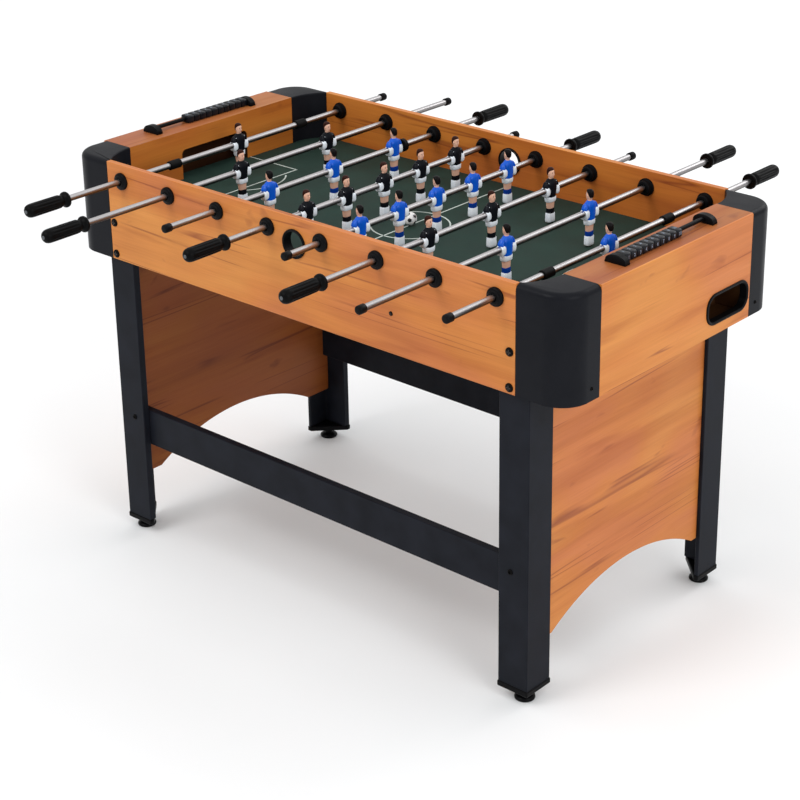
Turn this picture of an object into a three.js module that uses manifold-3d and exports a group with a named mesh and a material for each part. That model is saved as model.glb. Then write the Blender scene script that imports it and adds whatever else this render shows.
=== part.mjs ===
// Foosball table: a 1.22 m long cabinet on four L-shaped legs, with eight sliding and spinning
// rods, twenty-two figures, two bead scorers and a ball.
// Millimetres. X runs along the table, Y along the rods, Z up. The origin is on the floor under
// the middle of the cabinet.

import * as THREE from 'three';
import { mergeVertices } from 'three/addons/utils/BufferGeometryUtils.js';
import Module from 'manifold-3d';

const wasm = await Module();
wasm.setup();

// ---------------------------------------------------------------- driving dimensions

const GAP = 0.3; // clearance between touching pieces

// cabinet
const LENGTH = 1220;
const WIDTH = 620;
const TOP = 798; // top of the side boards
const RAIL_HEIGHT = 198;
const BOARD = 12; // side, outer and inner boards
const LEDGE = 78; // width of the flat top at each end
const LEDGE_THICK = 14;
const LEDGE_ROUND = 4; // rounded outer edge of the ledge
const BOX_END = 8; // end walls of the ball box inside each end

// corner caps
const CAP_X = 108; // length of a cap along the side board
const CAP_Y = 86; // length of a cap along the end
const CAP_ROUND = 54;
const CAP_WALL = 8;

// playing surface, goals and ball openings
const FIELD_DEPTH = 99; // below the top of the side boards
const FIELD_THICK = 9;
const FIELD_SLACK = 1; // play all round the playing surface
const GOAL_HALF = 90;
const GOAL_HEIGHT = 60;
const GOAL_ROUND = 10;
const GOAL_TAB = 28; // how far the playing surface reaches into a goal mouth
const RETURN_Y = 152; // middle of the ball return opening
const RETURN_DROP = 148; // its height below the top of the side boards
const RETURN_SIZE = { width: 124, height: 52, round: 22 };
const ENTRY_RADIUS = 24.5; // ball entry holes in the side boards
const ENTRY_DROP = 50;

// legs and lower frame
const LEG_OUT_X = 523.5; // outer faces of the leg's corner
const LEG_OUT_Y = WIDTH / 2 - BOARD - GAP;
const LEG_WIDTH = 65;
const LEG_FACE = 15; // board behind the side board
const LEG_SIDE = 8; // board across the end
const LEG_BOTTOM = 20;
const FOOT_PLATE = 11; // thickness of the triangular plate under a leg
const FOOT_PROUD = 1.5;
const PAD = { x: 500, y: 273, radius: 19, height: 9, stem: 7 };
const PANEL_THICK = 9;
const PANEL_BOTTOM = 112;
const ARCH_HALF = 218;
const ARCH_RISE = 60;
const STRETCHER = { bottom: 199, height: 76, thick: 15 };

// rods
const ROD_PITCH = 131.6;
const ROD_DROP = 32; // rod axis below the top of the side boards
const SHAFT_RADIUS = 6;
const SHAFT_HOLE = 11.5;
const SHAFT_IN_HANDLE = 62;
const END_CAP = { radius: 8, length: 16 };
const BUMPER = { radius: 9, length: 28, place: 175 }; // pair of sleeves on a goalkeeper's rod
const STOP = { radius: 13, length: 10, place: 201 }; // single ring behind one outer figure
const HANDLE_LENGTH = 95;

// scorers
const SCORER_HALF = 136;
const BRACKET = { width: 42, length: 14, height: 16 };
const BEADS = { count: 10, pitch: 16.5, width: 24, height: 15, groove: 1.5 };
const WIRE = { radius: 4, rise: 8.2 };

const BALL_RADIUS = 13;
const BALL_PLACE = [4, -5];

// Rods from left to right: team, role, the figures' places along the rod, and how far the end cap
// and the handle's collar stand out. Black handles are at the front (-Y), blue ones at the back.
const RODS = [
  { team: 'black', role: 'goalie', men: [0], cap: 438, collar: 444 },
  { team: 'black', role: 'defender', men: [-120, 120], cap: 499, collar: 510 },
  { team: 'blue', role: 'attacker', men: [-174, 0, 174], cap: 440, collar: 434 },
  { team: 'black', role: 'midfielder', men: [-209, -104.5, 0, 104.5, 209], cap: 403, collar: 414 },
  { team: 'blue', role: 'midfielder', men: [-209, -104.5, 0, 104.5, 209], cap: 403, collar: 405 },
  { team: 'black', role: 'attacker', men: [-174, 0, 174], cap: 440, collar: 444 },
  { team: 'blue', role: 'defender', men: [-120, 120], cap: 499, collar: 497 },
  { team: 'blue', role: 'goalie', men: [0], cap: 438, collar: 444 },
];

// ---------------------------------------------------------------- derived places

const HALF_X = LENGTH / 2;
const HALF_Y = WIDTH / 2;
const RAIL_BOTTOM = TOP - RAIL_HEIGHT;
const FIELD = TOP - FIELD_DEPTH;
const UNDER_FIELD = FIELD - FIELD_THICK - GAP;
const ROD_Z = TOP - ROD_DROP;
const INNER_X = HALF_X - LEDGE;
const INNER_Y = HALF_Y - BOARD;
const rodX = (index) => (index - (RODS.length - 1) / 2) * ROD_PITCH;

// ---------------------------------------------------------------- materials

const paint = (color, roughness, metalness = 0) =>
  new THREE.MeshStandardMaterial({ color, roughness, metalness });

const WOOD = paint(0xd9935a, 0.45);
const BLACK = paint(0x2b2d30, 0.5);
const GREEN = paint(0x34463f, 0.7);
const STEEL = paint(0xc8ccd0, 0.2, 1);
const GRIP = paint(0x161718, 0.55);
const BEAD = paint(0x1b1c1f, 0.3);
const WHITE = paint(0xf0f0ee, 0.35);
const SHIRT = { black: paint(0x1a1c20, 0.35), blue: paint(0x1a56d6, 0.35) };

// ---------------------------------------------------------------- helpers

function solid(geometry) {
  const bare = geometry.clone();
  bare.deleteAttribute('normal');
  bare.deleteAttribute('uv');
  const merged = mergeVertices(bare, 1e-4);
  return new wasm.Manifold(new wasm.Mesh({
    numProp: 3,
    vertProperties: new Float32Array(merged.attributes.position.array),
    triVerts: new Uint32Array(merged.index.array),
  }));
}

function geometryOf(manifold) {
  const mesh = manifold.getMesh();
  const geometry = new THREE.BufferGeometry();
  geometry.setAttribute('position', new THREE.BufferAttribute(mesh.vertProperties, 3));
  geometry.setIndex(new THREE.BufferAttribute(mesh.triVerts, 1));
  geometry.computeVertexNormals();
  return geometry;
}

function piece(name, geometry, material, position = [0, 0, 0], turn = 0) {
  const mesh = new THREE.Mesh(geometry, material);
  mesh.name = name;
  mesh.position.set(...position);
  mesh.rotation.z = turn;
  return mesh;
}

// A box from its lowest corner to its highest corner.
function box(low, high) {
  const size = high.map((value, axis) => value - low[axis]);
  const middle = high.map((value, axis) => (value + low[axis]) / 2);
  return new THREE.BoxGeometry(...size).translate(...middle);
}

// A flat outline raised from z = low to z = high.
function raise(shape, low, high, curveSegments = 10) {
  const options = { depth: high - low, bevelEnabled: false, curveSegments };
  return new THREE.ExtrudeGeometry(shape, options).translate(0, 0, low);
}

// An outline drawn in X and Z, given a thickness along Y.
function upright(shape, low, high, curveSegments = 6) {
  return raise(shape, -high, -low, curveSegments).rotateX(Math.PI / 2);
}

// An outline drawn in Y and Z, given a thickness along X.
function crosswise(shape, low, high, curveSegments = 8) {
  return raise(shape, low, high, curveSegments).rotateX(Math.PI / 2).rotateZ(Math.PI / 2);
}

// A body of revolution about Y from [radius, place along Y] pairs.
function turned(profile, segments) {
  return new THREE.LatheGeometry(profile.map(([r, y]) => new THREE.Vector2(r, y)), segments);
}

// A rectangle with rounded corners, about the given middle.
function roundedSlot({ width, height, round }, centreY, centreZ) {
  const [reach, rise] = [width / 2 - round, height / 2 - round];
  const corners = [[1, -1], [1, 1], [-1, 1], [-1, -1]];
  const shape = new THREE.Shape();
  corners.forEach(([y, z], quarter) => {
    const from = (quarter - 1) * (Math.PI / 2);
    shape.absarc(centreY + y * reach, centreZ + z * rise, round, from, from + Math.PI / 2, false);
  });
  shape.closePath();
  return shape;
}

// ---------------------------------------------------------------- cabinet

function sideBoard(side) {
  const reach = HALF_X - CAP_X - GAP;
  const shape = new THREE.Shape();
  shape.moveTo(-reach, RAIL_BOTTOM);
  shape.lineTo(reach, RAIL_BOTTOM);
  shape.lineTo(reach, TOP);
  shape.lineTo(-reach, TOP);
  shape.closePath();
  const holes = RODS.map((rod, index) => [rodX(index), ROD_Z, SHAFT_HOLE]);
  holes.push([0, TOP - ENTRY_DROP, ENTRY_RADIUS]);
  for (const [x, z, radius] of holes) {
    shape.holes.push(new THREE.Path().absarc(x, z, radius, 0, Math.PI * 2, true));
  }
  const faces = side > 0 ? [INNER_Y, HALF_Y] : [-HALF_Y, -INNER_Y];
  return upright(shape, ...faces);
}

// Outer board, ledge, inner board and floor glued into one box, with the goal mouth on the
// inside and the ball return on the outside.
function endBox(side) {
  const reach = HALF_Y - CAP_Y - GAP;
  const section = new THREE.Shape();
  section.moveTo(INNER_X, RAIL_BOTTOM);
  section.lineTo(HALF_X, RAIL_BOTTOM);
  section.lineTo(HALF_X, TOP - LEDGE_ROUND);
  section.absarc(HALF_X - LEDGE_ROUND, TOP - LEDGE_ROUND, LEDGE_ROUND, 0, Math.PI / 2, false);
  section.lineTo(INNER_X, TOP);
  section.closePath();
  const inside = box(
    [INNER_X + BOARD, -reach + BOX_END, RAIL_BOTTOM + BOARD],
    [HALF_X - BOARD, reach - BOX_END, TOP - LEDGE_THICK],
  );
  const mouth = new THREE.Shape();
  const crown = FIELD + GOAL_HEIGHT;
  mouth.moveTo(-GOAL_HALF, UNDER_FIELD);
  mouth.lineTo(GOAL_HALF, UNDER_FIELD);
  mouth.absarc(GOAL_HALF - GOAL_ROUND, crown - GOAL_ROUND, GOAL_ROUND, 0, Math.PI / 2, false);
  mouth.absarc(GOAL_ROUND - GOAL_HALF, crown - GOAL_ROUND, GOAL_ROUND, Math.PI / 2, Math.PI, false);
  mouth.closePath();
  const pocket = roundedSlot(RETURN_SIZE, RETURN_Y, TOP - RETURN_DROP);
  const body = solid(upright(section, -reach, reach))
    .subtract(solid(inside))
    .subtract(solid(crosswise(mouth, INNER_X - 1, INNER_X + BOARD + 1)))
    .subtract(solid(crosswise(pocket, HALF_X - BOARD - 1, HALF_X + 1)));
  return piece(`end_box_${side > 0 ? 'right' : 'left'}`, geometryOf(body), WOOD,
    [0, 0, 0], side > 0 ? 0 : Math.PI);
}

// One corner: round outside, with a hollow curve from the end box to the side board inside. Above
// the field it fills the corner, and below only the outer wall goes down, to leave the leg room.
function cornerCap(sideX, sideY) {
  const at = (x, y) => [sideX * x, sideY * y];
  const arc = (shape, cx, cy, rx, ry, from, to) => {
    for (let step = 0; step <= 8; step += 1) {
      const angle = from + (to - from) * (step / 8);
      shape.lineTo(...at(cx + rx * Math.cos(angle), cy + ry * Math.sin(angle)));
    }
  };
  const quarter = Math.PI / 2;
  const centre = [HALF_X - CAP_ROUND, HALF_Y - CAP_ROUND];
  const endY = HALF_Y - CAP_Y;
  const endX = HALF_X - CAP_X;

  const block = new THREE.Shape();
  block.moveTo(...at(INNER_X, endY));
  block.lineTo(...at(HALF_X, endY));
  arc(block, ...centre, CAP_ROUND, CAP_ROUND, 0, quarter);
  block.lineTo(...at(endX, HALF_Y));
  const [run, rise] = [INNER_X - endX, INNER_Y - endY];
  const bend = (run ** 2 + rise ** 2) / (2 * run);
  arc(block, INNER_X - bend, endY, bend, bend, Math.asin(rise / bend), 0);

  const inner = CAP_ROUND - BOARD;
  const wall = new THREE.Shape();
  wall.moveTo(...at(HALF_X - BOARD, endY));
  wall.lineTo(...at(HALF_X, endY));
  arc(wall, ...centre, CAP_ROUND, CAP_ROUND, 0, quarter);
  wall.lineTo(...at(endX, HALF_Y));
  wall.lineTo(...at(endX, HALF_Y - BOARD));
  arc(wall, ...centre, inner, inner, quarter, 0);

  const hollow = new THREE.Shape();
  hollow.moveTo(...at(INNER_X + CAP_WALL, endY + CAP_WALL));
  hollow.lineTo(...at(HALF_X - BOARD, endY + CAP_WALL));
  arc(hollow, ...centre, inner, inner, 0, quarter);
  hollow.lineTo(...at(INNER_X + CAP_WALL, INNER_Y));

  const body = solid(raise(block, FIELD + GAP, TOP))
    .add(solid(raise(wall, RAIL_BOTTOM, FIELD + CAP_WALL)))
    .subtract(solid(raise(hollow, FIELD - CAP_WALL, TOP - CAP_WALL)));
  return geometryOf(body);
}

const cabinet = new THREE.Group();
for (const [word, side] of [['front', -1], ['back', 1]]) {
  cabinet.add(piece(`side_board_${word}`, sideBoard(side), WOOD));
  for (const [end, sideX] of [['left', -1], ['right', 1]]) {
    cabinet.add(piece(`corner_cap_${word}_${end}`, cornerCap(sideX, side), BLACK));
  }
}
cabinet.add(endBox(-1), endBox(1));

// The playing surface reaches into both goal mouths with a tab.
function playfield() {
  const slab = (x, y) => solid(box([-x, -y, FIELD - FIELD_THICK], [x, y, FIELD]));
  return geometryOf(slab(INNER_X - FIELD_SLACK, INNER_Y - FIELD_SLACK)
    .add(slab(INNER_X + GOAL_TAB, GOAL_HALF - FIELD_SLACK)));
}

cabinet.add(piece('playfield', playfield(), GREEN));

// ---------------------------------------------------------------- legs and lower frame

function leg(sideX, sideY) {
  const signed = (low, high) => {
    const ends = [[sideX * low[0], sideX * high[0]], [sideY * low[1], sideY * high[1]]];
    const [x, y] = ends.map((pair) => [Math.min(...pair), Math.max(...pair)]);
    return solid(box([x[0], y[0], low[2]], [x[1], y[1], high[2]]));
  };
  const face = signed(
    [LEG_OUT_X - LEG_WIDTH, LEG_OUT_Y - LEG_FACE, LEG_BOTTOM],
    [LEG_OUT_X, LEG_OUT_Y, UNDER_FIELD],
  );
  const flank = signed(
    [LEG_OUT_X - LEG_SIDE, LEG_OUT_Y - LEG_WIDTH, LEG_BOTTOM],
    [LEG_OUT_X, LEG_OUT_Y, UNDER_FIELD],
  );
  const tip = [LEG_OUT_X + FOOT_PROUD, LEG_OUT_Y + FOOT_PROUD];
  const reach = LEG_WIDTH + 2 * FOOT_PROUD;
  const notch = LEG_SIDE + FOOT_PROUD;
  const plate = new THREE.Shape();
  plate.moveTo(sideX * tip[0], sideY * tip[1]);
  plate.lineTo(sideX * (tip[0] - reach), sideY * tip[1]);
  plate.lineTo(sideX * (tip[0] - reach), sideY * (tip[1] - notch));
  plate.lineTo(sideX * (tip[0] - notch), sideY * (tip[1] - reach));
  plate.lineTo(sideX * tip[0], sideY * (tip[1] - reach));
  const pad = turned([
    [0, 0],
    [PAD.radius, 0],
    [PAD.radius, PAD.height * 0.5],
    [PAD.radius * 0.7, PAD.height],
    [PAD.stem, PAD.height],
    [PAD.stem, LEG_BOTTOM + 1],
    [0, LEG_BOTTOM + 1],
  ], 16).rotateX(Math.PI / 2).translate(sideX * PAD.x, sideY * PAD.y, 0);
  return geometryOf(face.add(flank)
    .add(solid(raise(plate, LEG_BOTTOM, LEG_BOTTOM + FOOT_PLATE)))
    .add(solid(pad)));
}

function endPanel(side) {
  const reach = LEG_OUT_Y - LEG_FACE - GAP;
  const radius = (ARCH_HALF ** 2 + ARCH_RISE ** 2) / (2 * ARCH_RISE);
  const sweep = Math.asin(ARCH_HALF / radius);
  const shape = new THREE.Shape();
  shape.moveTo(reach, UNDER_FIELD);
  shape.lineTo(-reach, UNDER_FIELD);
  shape.lineTo(-reach, PANEL_BOTTOM);
  const centreZ = PANEL_BOTTOM + ARCH_RISE - radius;
  shape.absarc(0, centreZ, radius, Math.PI / 2 + sweep, Math.PI / 2 - sweep, true);
  shape.lineTo(reach, PANEL_BOTTOM);
  shape.closePath();
  const outer = LEG_OUT_X - LEG_SIDE - GAP;
  const faces = side > 0 ? [outer - PANEL_THICK, outer] : [-outer, PANEL_THICK - outer];
  return crosswise(shape, ...faces, 12);
}

const lower = new THREE.Group();
for (const [word, side] of [['front', -1], ['back', 1]]) {
  for (const [end, sideX] of [['left', -1], ['right', 1]]) {
    lower.add(piece(`leg_${word}_${end}`, leg(sideX, side), BLACK));
  }
  const reach = LEG_OUT_X - LEG_SIDE - PANEL_THICK - 2 * GAP;
  const outer = LEG_OUT_Y - LEG_FACE - GAP;
  const places = [side * outer, side * (outer - STRETCHER.thick)].sort((a, b) => a - b);
  lower.add(piece(`stretcher_${word}`, box(
    [-reach, places[0], STRETCHER.bottom],
    [reach, places[1], STRETCHER.bottom + STRETCHER.height],
  ), BLACK));
}
lower.add(piece('end_panel_left', endPanel(-1), WOOD), piece('end_panel_right', endPanel(1), WOOD));

// ---------------------------------------------------------------- rods, handles and figures

// The shaft runs from its blind end inside the handle (-Y) to the end cap (+Y). Rubber sleeves on
// it stop the slide: [place, length, radius] of each.
function shaft({ cap, collar }, sleeves) {
  const blind = -collar - SHAFT_IN_HANDLE;
  const profile = [[0, blind], [SHAFT_RADIUS, blind]];
  for (const [place, length, radius] of sleeves) {
    const [from, to] = [place - length / 2, place + length / 2];
    profile.push([SHAFT_RADIUS, from], [radius, from], [radius, to], [SHAFT_RADIUS, to]);
  }
  const start = cap - END_CAP.length;
  profile.push(
    [SHAFT_RADIUS, start],
    [END_CAP.radius, start],
    [END_CAP.radius, cap - 3],
    [END_CAP.radius - 3, cap],
    [0, cap],
  );
  return turned(profile, 12);
}

function sleevesOf({ team, role }) {
  if (role === 'goalie') {
    return [-1, 1].map((side) => [side * BUMPER.place, BUMPER.length, BUMPER.radius]);
  }
  return team === 'blue' && role === 'attacker' ? [[-STOP.place, STOP.length, STOP.radius]] : [];
}

// Collar disc at y = 0, then neck, grip and rounded end towards -Y, with a bore for the shaft.
function handle() {
  const bore = SHAFT_RADIUS + GAP;
  return turned([
    [0, -HANDLE_LENGTH],
    [7, -HANDLE_LENGTH + 1],
    [11.5, -HANDLE_LENGTH + 5],
    [13, -HANDLE_LENGTH + 12],
    [12.6, -22],
    [9.5, -13],
    [9.5, -11],
    [15, -7],
    [15, 0],
    [bore, 0],
    [bore, -SHAFT_IN_HANDLE - GAP],
    [0, -SHAFT_IN_HANDLE - GAP],
  ], 12);
}

// A figure hung on its rod: axis of the rod through the origin along Y, face towards +X.
function figure() {
  const outline = [
    [0, -64], [9.4, -64], [9.4, -46], [8, -44], [8.6, -26],
    [12, -23], [14.5, -10], [15.5, 10], [5, 20], [0, 26],
  ];
  const body = turned(outline, 8).rotateY(Math.PI / 8).rotateX(Math.PI / 2).scale(0.62, 1, 1);
  const head = new THREE.SphereGeometry(1, 8, 5).rotateX(Math.PI / 2).scale(8.5, 7.2, 10.5)
    .translate(0.5, 0, 32);
  const arms = new THREE.CylinderGeometry(8.5, 8.5, 39, 8);
  const bore = new THREE.CylinderGeometry(SHAFT_RADIUS + GAP, SHAFT_RADIUS + GAP, 60, 12);
  return geometryOf(solid(body).add(solid(head)).add(solid(arms)).subtract(solid(bore)));
}

const handleShape = handle();
const figureShape = figure();

const rods = new THREE.Group();
RODS.forEach((rod, index) => {
  const back = rod.team === 'blue'; // this team stands behind the table and faces -X
  const turn = back ? Math.PI : 0;
  const name = `${rod.team}_${rod.role}`;
  const unit = new THREE.Group();
  unit.position.set(rodX(index), 0, ROD_Z);
  unit.rotation.z = turn;
  unit.add(piece(`shaft_${name}`, shaft(rod, sleevesOf(rod)), STEEL));
  unit.add(piece(`handle_${name}`, handleShape, GRIP, [0, -rod.collar, 0]));
  rod.men.forEach((place, count) => {
    unit.add(piece(`player_${name}_${count + 1}`, figureShape, SHIRT[rod.team], [0, place, 0]));
  });
  rods.add(unit);
});

// ---------------------------------------------------------------- scorers and ball

function scorerRail() {
  const wire = new THREE.CylinderGeometry(WIRE.radius, WIRE.radius, 2 * SCORER_HALF - 4, 12)
    .translate(0, 0, WIRE.rise);
  let body = solid(wire);
  for (const side of [-1, 1]) {
    const shape = new THREE.Shape();
    const half = BRACKET.width / 2;
    shape.moveTo(-half, GAP);
    shape.lineTo(half, GAP);
    shape.lineTo(half, 5);
    shape.lineTo(half * 0.55, BRACKET.height);
    shape.lineTo(-half * 0.55, BRACKET.height);
    shape.lineTo(-half, 5);
    shape.closePath();
    const outer = side * SCORER_HALF;
    const inner = side * (SCORER_HALF - BRACKET.length);
    body = body.add(solid(upright(shape, Math.min(outer, inner), Math.max(outer, inner))));
  }
  return geometryOf(body);
}

// Ten square beads pushed together, as one stack with a groove between each pair.
function scorerBeads() {
  const { count, pitch, width, height, groove } = BEADS;
  const [half, middle] = [width / 2, height / 2 + 0.5];
  const block = (inset, from, to) => solid(box(
    [inset - half, from, middle - height / 2 + inset],
    [half - inset, to, middle + height / 2 - inset],
  ));
  let stack = block(groove, 0.5, count * pitch - 0.5);
  for (let bead = 0; bead < count; bead += 1) {
    stack = stack.add(block(0, bead * pitch + 0.5, (bead + 1) * pitch - 0.5));
  }
  const radius = WIRE.radius + 2 * GAP;
  const bore = new THREE.CylinderGeometry(radius, radius, 3 * count * pitch, 12);
  return geometryOf(stack.subtract(solid(bore.translate(0, 0, WIRE.rise))));
}

const play = new THREE.Group();
for (const [word, side] of [['left', -1], ['right', 1]]) {
  const unit = new THREE.Group();
  unit.position.set(side * (HALF_X - LEDGE / 2), 0, TOP);
  unit.rotation.z = side > 0 ? 0 : Math.PI;
  unit.add(piece(`scorer_rail_${word}`, scorerRail(), BLACK));
  const start = BRACKET.length + GAP - SCORER_HALF;
  unit.add(piece(`scorer_beads_${word}`, scorerBeads(), BEAD, [0, start, 0]));
  play.add(unit);
}
play.add(piece('ball', new THREE.IcosahedronGeometry(BALL_RADIUS, 2), WHITE,
  [...BALL_PLACE, FIELD + BALL_RADIUS + GAP]));

const group = new THREE.Group();
group.add(cabinet, lower, rods, play);

export default group;
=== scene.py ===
"""The looks of a foosball table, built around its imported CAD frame. Metres, +Z up."""
import math

import bmesh
import bpy
from mathutils import Matrix, Vector


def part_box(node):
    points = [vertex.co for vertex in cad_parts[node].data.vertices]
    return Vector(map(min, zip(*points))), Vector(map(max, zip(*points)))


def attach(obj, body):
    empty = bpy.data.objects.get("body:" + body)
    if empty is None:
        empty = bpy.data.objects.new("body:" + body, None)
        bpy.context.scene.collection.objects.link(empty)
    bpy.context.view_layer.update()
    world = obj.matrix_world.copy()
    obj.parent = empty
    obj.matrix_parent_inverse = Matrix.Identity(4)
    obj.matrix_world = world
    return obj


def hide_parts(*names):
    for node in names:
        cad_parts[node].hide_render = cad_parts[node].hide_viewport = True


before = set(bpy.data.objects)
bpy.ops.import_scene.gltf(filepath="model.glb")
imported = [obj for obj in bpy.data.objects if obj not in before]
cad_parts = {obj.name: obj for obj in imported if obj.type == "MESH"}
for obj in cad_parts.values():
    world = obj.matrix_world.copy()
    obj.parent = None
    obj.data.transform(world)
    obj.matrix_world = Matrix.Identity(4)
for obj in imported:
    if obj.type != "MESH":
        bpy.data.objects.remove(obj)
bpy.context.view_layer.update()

# ---------- sizes read from the frame

FRONT_LOW, FRONT_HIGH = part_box("side_board_front")
BACK_LOW, BACK_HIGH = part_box("side_board_back")
END_LOW, END_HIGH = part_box("end_box_right")
FIELD_LOW, FIELD_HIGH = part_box("playfield")
CAP_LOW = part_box("corner_cap_back_right")[0]
LEG_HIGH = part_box("leg_back_right")[1]
PANEL_LOW, PANEL_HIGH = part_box("end_panel_right")
BALL_LOW, BALL_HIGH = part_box("ball")

TOP = FRONT_HIGH.z
RAIL_BOTTOM = FRONT_LOW.z
FIELD_Z = FIELD_HIGH.z
HALF_X = END_HIGH.x
INNER_X = END_LOW.x
HALF_Y = BACK_HIGH.y
INNER_Y = BACK_LOW.y
BOARD = HALF_Y - INNER_Y

LONG_SIDES = (("front", -1), ("back", 1))
ENDS = (("left", -1), ("right", 1))
CORNERS = [(f"{wy}_{wx}", sx, sy) for wy, sy in LONG_SIDES for wx, sx in ENDS]

# ---------- sizes no box gives

GAP = 0.0003  # clearance between touching pieces
CLOSE = 0.0002  # a face nearer to a surface than this is on it
BOARD_CHAMFER = 0.0008
ROD_RADIUS = 0.006
ROD_HOLE = 0.0115
ENTRY_Z = TOP - 0.050
ENTRY_RADIUS = 0.0245
RETURN_CENTRE = (0.152, TOP - 0.148)
RETURN_HALF = (0.062, 0.026, 0.022)  # half width, half height and corner radius of the opening
GOAL_HALF = 0.090
GOAL_HEIGHT = 0.060
GOAL_ROUND = 0.010
LEDGE_ROUND = 0.004
LEDGE_THICK = 0.014
BOX_WALL = 0.008
CAP_ROUND = 0.054
ARCH_HALF = 0.218
ARCH_RISE = 0.060
LEG_WIDTH = 0.065
LEG_FACE = 0.015  # board of a leg along the side
LEG_FLANK = 0.008  # board of a leg along the end
LEG_BOTTOM = 0.020
LEG_PLATE_TOP = 0.031
FOOT_PROUD = 0.0015  # the foot plate reaches this far past the leg
FOOT_X, FOOT_Y = 0.500, 0.273
WIRE_RADIUS = 0.004
WIRE_RISE = 0.0082
BEAD_COUNT = 10
BEAD_GAP = 0.001
DIGIT_SIZE = 0.0088
DIGIT_LIFT = 0.00005
BRACKET_HALF = 0.0210
BRACKET_DEEP = 0.0140
BRACKET_SKIRT = 0.0040

# Bolts and screws as (place along the face, height, head radius).
BOARD_SCREWS = [(0.490, 0.676, 0.0080), (0.490, 0.612, 0.0080), (0.229, 0.675, 0.0042)]
LEG_BOLT = (0.485, 0.258, 0.0055)
CAP_SCREW = (0.245, 0.622, 0.0036)

# Marks painted on the field.
MARK_CENTRE = (0.003, -0.004)
MARK_WIDTH = 0.0032
MARK_LIFT = 0.00025
CIRCLE_RADIUS = 0.0755
SPOT_RADIUS = 0.003
BOX_REACH = 0.399  # from the centre of the marks to the front of a penalty box
BOX_HALF = 0.1005
ARC_REACH = {-1: 0.450, 1: 0.461}
ARC_RADIUS = 0.085
ARC_SWEEP = 46

CAMERA_PLACE = (2.3707, -2.6554, 1.9825)
CAMERA_TURN = (67.883, 0.570, 41.144)
CAMERA_LENS = 90.154
CAMERA_SHIFT = (-0.03, -0.12)
SKY_STRENGTH = 0.69
FLOOR_HALF, FLOOR_THICK = 14, 0.02

# Softboxes: name, place, the point faced, size and power.
SOFTBOXES = [
    ("ceiling", (-0.6, 3.8, 6.0), (-0.6, 3.8, 0), (15, 15), 305),
    ("back", (0.4, 7.0, 4.2), (-2.4, 4.6, 0), (6, 3), 130),
    ("key", (-0.9, -3.2, 3.4), (0, 0, 0.6), (1.8, 1.6), 58),
    ("fill", (4.4, -1.0, 2.6), (0, 0, 0.5), (2.6, 2.2), 65),
]

# Each rod: its name, its number of figures, and its rubber sleeves as (place, length, radius).
PAIR = [(-0.175, 0.028, 0.009), (0.175, 0.028, 0.009)]
RODS = [
    ("black_goalie", 1, PAIR),
    ("black_defender", 2, []),
    ("blue_attacker", 3, [(0.201, 0.010, 0.013)]),
    ("black_midfielder", 5, []),
    ("blue_midfielder", 5, []),
    ("black_attacker", 3, []),
    ("blue_defender", 2, []),
    ("blue_goalie", 1, PAIR),
]


def node_centre(node):
    low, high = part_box(node)
    return (low + high) / 2


def rod_axis(rod):
    """X and Z of a rod, from the middle of its shaft."""
    middle = node_centre("shaft_" + rod)
    return middle.x, middle.z


# ---------- materials


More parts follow.
